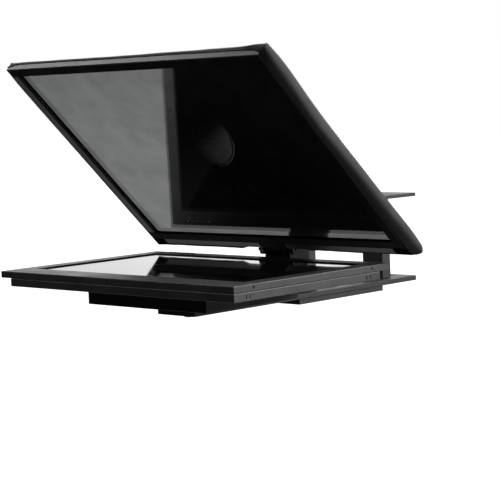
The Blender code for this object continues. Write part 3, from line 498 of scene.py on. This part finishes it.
def skirt_point(x, up, row):
    """Where the ring point at (x, up) of the frame's outside lies in that row of the skirt.

    The cloth is a loose cuff on the right side, snug on the left and the top, and hangs below the frame,
    but for the middle, where it clears the hinge.
    """
    turn = 26 * MM  # the cloth rounds each corner over this length
    last = len(TOP_ROWS) - 1
    low, high = RAIL_LOW[1], RAIL_HIGH[1]
    share = (up - low) / (high - low)
    wave = noise.noise(Vector((x * 9, up * 9, 3.1)))
    fine = noise.noise(Vector((x * 30, up * 30, row * 0.35)))
    near_side, near_end = FRAME_HALF - abs(x), min(up - low, high - up)

    if x > 0:  # the cuff stands off most at the lower corner and again near the top
        bulge = 6.5 + 19.0 * (1 - share) ** 1.4 + 9.0 * eased((share - 0.62) / 0.3)
        bulge += (1.6 * wave + 1.3 * fine) * (1.2 - share)
        grow_x, out_x = RIGHT_ROWS[row]
        grow_x = grow_x * bulge + 2.4 + (5.0 if row == 0 else 0.0) * eased((share - 0.35) / 0.5)
        if row == 0:
            grow_x += 2.2 * noise.noise(Vector((0, up * 28, 5.0)))
    else:
        grow_x, out_x = LEFT_ROWS[row]
        grow_x = grow_x * (0.3 + 1.2 * (1 - share)) + 0.5 + 0.4 * fine + 0.3 * wave
    if share > 0.5:
        grow_up, out_up = TOP_ROWS[row]
        out_up -= (2.4 + 0.9 * wave) * (1 - row / last) + max(x, 0.0) * 13.0 * row / last
        grow_up += 0.6 * fine + 9.0 * eased((x - 0.268) / 0.05) * math.sin(math.pi * (row + 0.5) / (last + 1))
    else:
        hang = eased((abs(x) - 42 * MM) / (40 * MM))
        (a, c), (b, d) = HINGE_ROWS[row], BOTTOM_ROWS[row]
        grow_up, out_up = a + (b - a) * hang, c + (d - c) * hang
        ripple = (2.2 * wave + 1.4 * fine) * (1 - row / last)
        grow_up += (ripple + (2.6 if x < 0 else 0.0) * (1 - row / 8)) * hang
    side, end = eased(1 - near_side / turn), eased(1 - near_end / turn)
    snug = 1 - (0.7 if x < 0 else 0.3) * side * end if share > 0.5 else 1.0  # the top corners are drawn in
    at_end = near_end < near_side
    forward = out_up + (out_x - out_up) * 0.5 * side if at_end else out_x + (out_up - out_x) * 0.5 * end
    return tilted(
        x + math.copysign(grow_x * side * snug, x) * MM,
        up + (grow_up * snug * end if share > 0.5 else -grow_up * end) * MM,
        forward * MM,
    )


def skirt_rows():
    """The band of cloth round the frame, from the hem to the seam of the taper."""
    ring = frame_ring()
    return [[skirt_point(x, up, row) for x, up in ring] for row in range(len(TOP_ROWS))]


def hood_rows():
    """All rows of the hood from hem to sleeve end, and which of them past the skirt are held still."""
    rows = skirt_rows()
    back = rows[-1]
    mouth = sleeve_ring(MOUTH, MOUTH_RADIUS, MOUTH_LEAN)
    end = sleeve_ring(SLEEVE_END, SLEEVE_RADIUS, 0)
    lift = -TILT_OUT
    for step in range(1, TAPER):
        share = step / TAPER
        row = []
        for i, (a, b) in enumerate(zip(back, mouth)):
            drift = 2.2 * noise.noise(Vector((i * 0.11, 0.4, 0)))
            fold = math.sin(2 * math.pi * i * FOLDS / len(back) + drift)
            depth = 2.6 * MM * share ** 1.5 * fold
            row.append(a.lerp(b, share) + lift * depth)
        rows.append(row)
    held = [len(rows)]
    rows.append(mouth)
    for step in range(1, TUBE):
        share = step / TUBE
        row = []
        for i, (a, b) in enumerate(zip(mouth, end)):
            centre = MOUTH.lerp(SLEEVE_END, share)
            spot = a.lerp(b, share)
            ripple = 1.5 * MM * math.sin(2 * math.pi * i * FOLDS / len(end)) * share
            row.append(spot + (spot - centre).normalized() * ripple * 0.7)
        rows.append(row)
    rows.append(end)
    held += [len(rows) - 1, len(rows) - 2]
    return rows, held


def settle(piece, held, frames=26):
    """Lets the cloth fall into folds between its held points, then keeps that shape."""
    mesh = piece.data
    rest = [v.co.copy() for v in mesh.vertices]
    group = piece.vertex_groups.new(name=HELD)
    group.add(held, 1.0, "REPLACE")
    cloth = piece.modifiers.new("Cloth", "CLOTH")
    settings = cloth.settings
    settings.quality = 5
    settings.mass = 0.12
    settings.tension_stiffness = 18
    settings.compression_stiffness = 14
    settings.shear_stiffness = 4
    settings.bending_stiffness = 0.08
    settings.shrink_min = -SLACK
    settings.vertex_group_mass = HELD
    cloth.collision_settings.use_collision = False
    cloth.point_cache.frame_start = 1
    cloth.point_cache.frame_end = frames
    piece.modifiers.move(len(piece.modifiers) - 1, 0)
    others = [m for m in piece.modifiers if m != cloth]
    for modifier in others:
        modifier.show_viewport = False
    for step in range(1, frames + 1):
        scene.frame_set(step)
    graph = bpy.context.evaluated_depsgraph_get()
    shaped = [v.co.copy() for v in piece.evaluated_get(graph).data.vertices]
    piece.modifiers.remove(cloth)
    for modifier in others:
        modifier.show_viewport = True
    for vertex, start, end in zip(mesh.vertices, rest, shaped):
        move = end - start
        if move.length > REACH:
            move *= REACH / move.length
        vertex.co = start + move
    scene.frame_set(1)


def seam_strip(name, line, sideways, ups, width, lift, thickness):
    """A flat strip of tape sewn along a line of the hood."""
    rows = []
    for share in (-0.5, 0.5):
        rows.append([p + s * width * share + up * lift for p, s, up in zip(line, sideways, ups)])
    return cloth_grid(name, rows, thickness, 1, False, "hood_fabric", SEAM_PAST_HEM)


def piping(name, ring, radius, paint=None, sides=8):
    """A rolled hem or a hoop: a round cord along a closed ring of points."""
    bm = bmesh.new()
    uv = bm.loops.layers.uv.new("cloth")
    count = len(ring)
    rows = []
    for i, point in enumerate(ring):
        ahead = (ring[(i + 1) % count] - ring[i - 1]).normalized()
        across = ahead.cross(TILT_OUT).normalized()
        rise = across.cross(ahead)
        size = radius * (1 + 0.22 * noise.noise(point * 90))
        rows.append([
            bm.verts.new(point + size * (math.cos(t) * across + math.sin(t) * rise))
            for t in (2 * math.pi * k / sides for k in range(sides))
        ])
    for i in range(count):
        nearer, further = rows[i], rows[(i + 1) % count]
        for k in range(sides):
            m = (k + 1) % sides
            face = bm.faces.new((nearer[k], nearer[m], further[m], further[k]))
            for corner, (a, b) in zip(face.loops, ((i, k), (i, k + 1), (i + 1, k + 1), (i + 1, k))):
                corner[uv].uv = (a * 0.012, b * 0.001)
    bmesh.ops.recalc_face_normals(bm, faces=bm.faces)
    return add_piece(name, mesh_of(name, bm, 0), "glass_frame", "hood_fabric", paint)


def stitches(name, lines, length=3.2 * MM, gap=1.6 * MM, radius=0.35 * MM):
    """Short raised threads along lines of (point, outward) pairs."""
    bm = bmesh.new()
    for line in lines:
        travelled = 0.0
        for (a, up), (b, _) in zip(line, line[1:]):
            step = b - a
            span = step.length
            if span < 1e-6:
                continue
            ahead = step / span
            side = ahead.cross(up).normalized()
            while travelled < span:
                centre = a + ahead * travelled
                ends = []
                for reach, size, rise in ((-0.5, 0.3, 0.1), (-0.3, 1, 0.7), (0.3, 1, 0.7), (0.5, 0.3, 0.1)):
                    middle_point = centre + ahead * reach * length + up * rise * radius
                    ends.append([
                        bm.verts.new(
                            middle_point + radius * size * (math.cos(t) * side + math.sin(t) * up)
                        ) for t in (0.5, 2.6, 4.7)  # a thread has three sides
                    ])
                for first, second in zip(ends, ends[1:]):
                    for i in range(3):
                        j = (i + 1) % 3
                        bm.faces.new((first[i], first[j], second[j], second[i]))
                bm.faces.new(ends[0][::-1])
                bm.faces.new(ends[-1])
                travelled += length + gap
            travelled -= span
    bmesh.ops.recalc_face_normals(bm, faces=bm.faces)
    return add_piece(name, mesh_of(name, bm, 0), "glass_frame", "hood_fabric", thread_black)


def make_hood():
    """The sewn hood, with its hem, the hoop in its mouth, four seam tapes and the stitching."""
    rows, held_rows = hood_rows()
    count = len(rows[0])
    skirt = len(TOP_ROWS)
    hood = cloth_grid("hood_cloth", rows, CLOTH, 1, True, "hood_fabric")
    held = [r * count + i for r in list(range(skirt)) + held_rows for i in range(count)]
    settle(hood, held)
    spots = [[hood.data.vertices[r * count + i].co.copy() for i in range(count)] for r in range(len(rows))]
    ups = [[hood.data.vertices[r * count + i].normal.copy() for i in range(count)] for r in range(len(rows))]

    mouth = sleeve_ring(MOUTH, MOUTH_RADIUS - CLOTH - HOOP_RADIUS - 0.2 * MM, MOUTH_LEAN)
    hoop = piping("hood_mouth_hoop", mouth, HOOP_RADIUS, thread_black)
    hem = piping("hood_hem", [p + up * 0.1 * MM for p, up in zip(spots[0], ups[0])], 1.1 * MM)
    corners = [sum(SIDE_STEPS[:i]) for i in range(4)]
    strips, lines = [], []
    taper = range(skirt - 1, skirt + TAPER)
    for number, column in enumerate(corners, 1):
        line = [spots[r][column] for r in taper]
        normals = [ups[r][column] for r in taper]
        sideways = [(spots[r][(column + 1) % count] - spots[r][column - 1]).normalized() for r in taper]
        strips.append(
            seam_strip(f"hood_seam_{number}", line, sideways, normals, SEAM_WIDTH, 0.7 * MM, 0.5 * MM)
        )
        for share in (-0.3, 0.3):
            lines.append([
                (p + s * SEAM_WIDTH * share + u * 0.8 * MM, u) for p, s, u in zip(line, sideways, normals)
            ])
    for row, share in ((0, 0.8), (skirt - 2, 0.5)):  # beside the hem and before the taper's seam
        loop = [
            (spots[row][i].lerp(spots[row + 1][i], share) + ups[row + 1][i] * 0.15 * MM, ups[row + 1][i])
            for i in range(count)
        ]
        lines.append([*loop, loop[0]])
    thread = stitches("hood_stitches", lines)
    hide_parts("hood")


# ---------------------------------------------------------------- hardware details


def circle(centre, across, up, radius, count=24, hexed=False):
    """A ring of points, or a hexagon with that radius to its flats where hexed is true."""
    ring = []
    for i in range(count):
        angle = 2 * math.pi * i / count
        reach = radius
        if hexed:
            reach = radius / math.cos((angle % (math.pi / 3)) - math.pi / 6)
        ring.append(centre + reach * (math.cos(angle) * across + math.sin(angle) * up))
    return ring


def socket_screw(name, seat, out, radius, height, body, replaced=None, dome=0.12):
    """A cap screw with a hexagon socket. seat is under the head and out points away from the metal.

    The display's screws are blackened.
    """
    across = out.orthogonal().normalized()
    up = out.cross(across)
    hexagon = radius * 0.46
    rings = [
        circle(seat, across, up, radius * 0.98),
        circle(seat + out * height * 0.08, across, up, radius),
        circle(seat + out * height * (1 - dome), across, up, radius),
        circle(seat + out * height, across, up, radius * 0.86),
        circle(seat + out * height, across, up, hexagon * 1.12, hexed=True),
        circle(seat + out * height * 0.93, across, up, hexagon, hexed=True),
        circle(seat + out * height * 0.40, across, up, hexagon, hexed=True),
        circle(seat + out * height * 0.32, across, up, hexagon * 0.3),
    ]
    made = loft(name, rings, body, "screw_steel", trim_black if body == "monitor" else None)
    if replaced:
        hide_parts(replaced)
    return made


AXES = {"X": Vector((1, 0, 0)), "Y": Vector((0, 1, 0)), "Z": Vector((0, 0, 1))}
SCREW_X = 0.272  # of the display's outer screws in the front and rear edges
SIDE_SCREWS = (0.0463, 0.3415)  # of the screws in the display's side edges, back from its front
BUTTON_HEAD = (1.9 * MM, 0.9 * MM)  # radius and height of the display's further screws
KEY_HEAD = (1.9 * MM, 1.0 * MM)
KEY_SCREWS = ((38, 7), (20, 7), (7, 20), (7, 38))  # millimetres in from a corner key's corner, across and up


# Packed screws: name, how many, which way they point, head radius and height in millimetres, body
PACKED_SCREWS = (
    ("bezel_screw_front", 2, -AXES["Y"], 1.9, 1.8, "monitor"),
    ("bezel_screw_side", 2, AXES["X"], 1.9, 1.8, "monitor"),
    ("platform_screw", 4, AXES["Z"], 4.8, 3.2, "base"),
    ("sled_clamp_screw", 2, AXES["Z"], 9.0, 6.0, "sled"),
)


def head_over(name, out, radius, height, body):
    """A hexagon socket head in place of a packed screw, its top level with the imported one's."""
    low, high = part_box(name)
    centre = (low + high) / 2
    tip = Vector(high[i] if out[i] > 0 else low[i] for i in range(3))
    seat = Vector(centre[i] if abs(out[i]) < 0.5 else tip[i] - out[i] * height * MM for i in range(3))
    socket_screw(f"{name}_head", seat, out, radius * MM, height * MM, body, name)


def make_screws():
    """Hexagon socket heads in place of the plain ones, and low ones round the display and on the keys."""
    for stem, count, *head in PACKED_SCREWS:
        for number in range(1, count + 1):
            head_over(f"{stem}_{number}", *head)
    bezel_low, bezel_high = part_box("display_bezel")
    level = middle("bezel_screw_front_1").z
    seats = [(Vector((-SCREW_X, bezel_low.y, level)), -AXES["Y"])]
    for back in SIDE_SCREWS:
        seats.append((Vector((bezel_low.x, bezel_low.y + back, level)), -AXES["X"]))
    for x in (-SCREW_X, 0.0, SCREW_X):
        seats.append((Vector((x, bezel_high.y, level)), AXES["Y"]))
    for number, (seat, out) in enumerate(seats, 1):
        name = f"bezel_button_screw_{number}"
        socket_screw(name, seat + out * 0.1 * MM, out, *BUTTON_HEAD, "monitor", dome=0.45)
    for number in range(1, 5):
        low, high = flat_box(f"corner_key_{number}")
        x_out = low[0] if abs(low[0]) > abs(high[0]) else high[0]
        near_top = high[1] > (RAIL_LOW[1] + RAIL_HIGH[1]) / 2
        v_out = high[1] if near_top else low[1]
        for step, (dx, dv) in enumerate(KEY_SCREWS, 1):
            x = x_out - math.copysign(dx * MM, x_out)
            up = v_out - (dv * MM if near_top else -dv * MM)
            seat = tilted(x, up, low[2])
            name = f"key_screw_{number}_{step}"
            socket_screw(name, seat, -TILT_OUT, *KEY_HEAD, "glass_frame", dome=0.45)


CASING_SLOTS = (28.8, 37.1, 326.4, 335.8)  # millimetres back from the bezel's front edge


def make_slot_shade():
    """Black plates just inside the narrow slots in the display casing's right side, as painted shade in the
    slots.
    """
    low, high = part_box("display_casing")
    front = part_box("display_bezel")[0].y
    level = (low.z + high.z) / 2
    bm = bmesh.new()
    for back in CASING_SLOTS:
        centre = Vector((high.x - 1.3 * MM, front + back * MM, level))
        size = Matrix.Diagonal((1.0 * MM, 2.2 * MM, 6.4 * MM, 1))
        bmesh.ops.create_cube(bm, size=1, matrix=Matrix.Translation(centre) @ size)
    add_piece("slot_shade", mesh_of("slot_shade", bm), "monitor", "casing_paint", trim_black)


RAIL_FACE = 17.5 * MM  # width of a rail's front face


def make_lip_and_shade_trim():
    """Black rubber along the left rail's inner edge, and painted shade in the same black over the top, bottom
    and right rails' faces.
    """
    inner_x = FRAME_HALF - RAIL_FACE
    inner_low, inner_high = RAIL_LOW[1] + RAIL_FACE, RAIL_HIGH[1] - RAIL_FACE
    end = FRAME_HALF - 1.5 * MM
    over = 0.8 * MM  # the rubber starts this far past a rail's inner edge
    side_low, side_high = inner_low + 1.2 * MM, inner_high - 1.2 * MM
    spans = {
        "shade_trim_top": ((-end, inner_high - over), (end, RAIL_HIGH[1] - 1.2 * MM)),
        "shade_trim_bottom": ((-end, RAIL_LOW[1] + 1.0 * MM), (end, inner_low + over)),
        "lip_left": ((-inner_x - over, side_low), (-inner_x + 6.5 * MM, side_high)),
        "shade_trim_right": ((inner_x - over, side_low), (end, side_high)),
    }
    for name, (low, high) in spans.items():
        rings = []
        for inset, out in ((0.0, 0.1), (0.0, 0.5), (0.4, 0.8)):
            x0, v0 = low[0] + inset * MM, low[1] + inset * MM
            x1, v1 = high[0] - inset * MM, high[1] - inset * MM
            depth = FACE + out * MM
            rings.append([tilted(x, v, depth) for x, v in ((x0, v0), (x1, v0), (x1, v1), (x0, v1))])
        loft(name, rings, "glass_frame", "gasket_rubber", trim_black)


def outline_piece(name, outlines, level, height, body, slot, paint):
    """Thin raised shapes lying on a horizontal face."""
    bm = bmesh.new()
    for outline in outlines:
        rows = [[bm.verts.new((x, y, level + z)) for x, y in outline] for z in (0.0, height)]
        for i in range(len(outline)):
            j = (i + 1) % len(outline)
            bm.faces.new((rows[0][i], rows[0][j], rows[1][j], rows[1][i]))
        bm.faces.new(rows[0][::-1])
        bm.faces.new(rows[1])
    bmesh.ops.recalc_face_normals(bm, faces=bm.faces)
    return add_piece(name, mesh_of(name, bm, 30), body, slot, paint)


def bar(x, y, half_x, half_y):
    return [(x + a * half_x, y + b * half_y) for a, b in ((-1, -1), (1, -1), (1, 1), (-1, 1))]


def polygon(x, y, radius, sides, turn=0.0):
    angles = [turn + 2 * math.pi * i / sides for i in range(sides)]
    return [(x + radius * math.cos(angle), y + radius * math.sin(angle)) for angle in angles]


def make_icons():
    """Plain printed marks in front of the menu buttons: bars, arrows, a minus, a plus and standby."""
    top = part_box("display_bezel")[1].z + 0.02 * MM
    places = [middle(f"button_{i}") for i in range(1, 7)]
    y = places[0].y - 6.0 * MM
    unit = 1.0 * MM
    shapes = []
    xs = [p.x for p in places]
    for row in (-1, 0, 1):
        shapes.append(bar(xs[0], y + row * unit * 1.1, 1.9 * unit, 0.28 * unit))
    shapes.append(polygon(xs[1], y, 1.7 * unit, 3, math.pi))
    shapes.append(polygon(xs[2], y, 1.7 * unit, 3, 0))
    shapes.append(bar(xs[3], y, 1.7 * unit, 0.32 * unit))
    shapes.append(bar(xs[4], y, 1.7 * unit, 0.32 * unit))
    shapes.append(bar(xs[4], y + 1.1 * unit, 0.32 * unit, 0.6 * unit))
    shapes.append(bar(xs[4], y - 1.1 * unit, 0.32 * unit, 0.6 * unit))
    shapes.append(bar(xs[5], y + 1.1 * unit, 0.28 * unit, 0.8 * unit))
    for i in range(10):
        angle = math.radians(125 + i * 29)
        dot_x, dot_y = xs[5] + 1.5 * unit * math.cos(angle), y + 1.5 * unit * math.sin(angle)
        shapes.append(polygon(dot_x, dot_y, 0.42 * unit, 8))
    outline_piece("button_marks", shapes, top, 0.05 * MM, "monitor", "button_plastic", print_white)


def knob_insert(name, centre, axes, steps, body):
    """A turned insert on a knob's face, by (radius, rise) steps in millimetres.

    The axes are out of the face, across it and up it.
    """
    out, across, up = axes
    rings = [circle(centre + out * rise * MM, across, up, radius * MM, 32) for radius, rise in steps]
    loft(name, rings, body, "screw_steel")


def make_knob_caps():
    """A metal insert let into the face of the tilt knob and of the display's lock knob."""
    x, y, z = AXES["X"], AXES["Y"], AXES["Z"]
    face = middle("tilt_knob")
    face.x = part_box("tilt_knob")[0].x
    steps = ((5.6, 0.02), (5.6, 0.5), (5.2, 0.8), (3.4, 0.8), (3.0, 0.3))
    knob_insert("tilt_knob_insert", face, (-x, y, z), steps, "tilt_knob")
    face = middle("monitor_lock_knob")
    face.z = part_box("monitor_lock_knob")[0].z
    steps = ((4.6, 0.02), (4.6, 0.4), (4.2, 0.7), (2.2, 0.7), (1.9, 0.2))
    knob_insert("lock_knob_insert", face, (-z, x, y), steps, "monitor_lock")


# ---------------------------------------------------------------- stage, light and camera

CAMERA_PLACE = Vector((2.2293, -2.4967, 0.3996))
YAW, PITCH, ROLL = (math.radians(a) for a in (44.18, -5.19, -2.34))
FLOOR = -1.25  # far below the object, which stands on a tripod
FLOOR_LIGHT = 0.37  # the floor's glow for light and reflections, behind and beside the object
FLOOR_SEEN = 1.2  # and its glow to the camera, which is white


def make_camera():
    ahead = Vector((-math.sin(YAW) * math.cos(PITCH), math.cos(YAW) * math.cos(PITCH), math.sin(PITCH)))
    level = Vector((math.cos(YAW), math.sin(YAW), 0))
    rise = level.cross(ahead)
    right = math.cos(ROLL) * level + math.sin(ROLL) * rise
    top = math.cos(ROLL) * rise - math.sin(ROLL) * level
    lens = bpy.data.cameras.new("camera")
    lens.lens = 125.2
    lens.sensor_width = 36
    lens.clip_start, lens.clip_end = 0.05, 100
    camera = bpy.data.objects.new("camera", lens)
    scene.collection.objects.link(camera)
    camera.matrix_world = Matrix((
        (right.x, top.x, -ahead.x, CAMERA_PLACE.x),
        (right.y, top.y, -ahead.y, CAMERA_PLACE.y),
        (right.z, top.z, -ahead.z, CAMERA_PLACE.z),
        (0, 0, 0, 1),
    ))
    scene.camera = camera


def make_floor():
    """White paper to the camera; to the object it is lit behind and beside it and dark in front."""
    bm = bmesh.new()
    bmesh.ops.create_grid(bm, x_segments=2, y_segments=2, size=40, matrix=Matrix.Translation((0, 0, FLOOR)))
    floor = bpy.data.objects.new("floor", mesh_of("floor", bm, 0))
    scene.collection.objects.link(floor)
    made, tree, principled = material("floor_paper", (0.05, 0.05, 0.05), 0.9)
    tree.links.new(ranged(tree, grain(tree, place(tree), 0.4), 0.85, 0.95), principled.inputs["Roughness"])
    principled.inputs["Emission Color"].default_value = (1, 1, 1, 1)
    axes = node(tree, "ShaderNodeSeparateXYZ")
    tree.links.new(place(tree), axes.inputs[0])
    lit = ranged(tree, axes.outputs["Y"], 0.0, FLOOR_LIGHT, -1.3, -0.25)
    seen = node(tree, "ShaderNodeLightPath").outputs["Is Camera Ray"]
    level = node(tree, "ShaderNodeMix", {"B": FLOOR_SEEN}, data_type="FLOAT")
    tree.links.new(seen, level.inputs["Factor"])
    tree.links.new(lit, level.inputs["A"])
    tree.links.new(level.outputs["Result"], principled.inputs["Emission Strength"])
    floor.data.materials.append(made)


def make_world():
    """White to the camera; for light and reflections, bright behind and to the right and dark in front."""
    world = bpy.data.worlds.new("studio")
    scene.world = world
    world.use_nodes = True
    tree = world.node_tree
    tree.nodes.clear()
    spot = node(tree, "ShaderNodeTexCoord").outputs["Generated"]
    dot = node(tree, "ShaderNodeVectorMath", operation="DOT_PRODUCT")
    dot.inputs[1].default_value = Vector((0.15, 0.95, 0.25)).normalized()
    tree.links.new(spot, dot.inputs[0])
    level = ranged(tree, dot.outputs["Value"], 0.0, 1.35, 0.10, 0.60)
    seen = node(tree, "ShaderNodeBackground", {"Color": (1, 1, 1, 1), "Strength": 1.0})
    light = node(tree, "ShaderNodeBackground", {"Color": (1, 1, 1, 1)})
    tree.links.new(level, light.inputs["Strength"])
    mix = node(tree, "ShaderNodeMixShader")
    tree.links.new(node(tree, "ShaderNodeLightPath").outputs["Is Camera Ray"], mix.inputs[0])
    tree.links.new(light.outputs[0], mix.inputs[1])
    tree.links.new(seen.outputs[0], mix.inputs[2])
    output = node(tree, "ShaderNodeOutputWorld")
    tree.links.new(mix.outputs[0], output.inputs["Surface"])


def softbox(name, spot, aim, size, power):
    light = bpy.data.lights.new(name, "AREA")
    light.shape = "RECTANGLE"
    light.size, light.size_y = size
    light.energy = power
    made = bpy.data.objects.new(name, light)
    scene.collection.objects.link(made)
    made.location = spot
    made.rotation_euler = (Vector(aim) - Vector(spot)).to_track_quat("-Z", "Y").to_euler()
    made.visible_camera = False


def make_lights():
    softbox("softbox_right", (3.3, 2.0, 1.35), (0, -0.2, 0.2), (2.2, 1.1), 185)
    softbox("softbox_top", (0.6, 0.7, 2.6), (0, -0.3, 0.1), (2.4, 1.8), 70)
    softbox("softbox_left", (-1.85, -1.3, 2.05), (0, -0.3, 0.2), (1.1, 1.1), 60)


# ---------------------------------------------------------------- assembly

scene.view_settings.view_transform = "Standard"
make_camera()
make_world()
make_floor()
make_lights()
dress_cad()
make_hood()
make_screws()
make_slot_shade()
make_lip_and_shade_trim()
make_icons()
make_knob_caps()
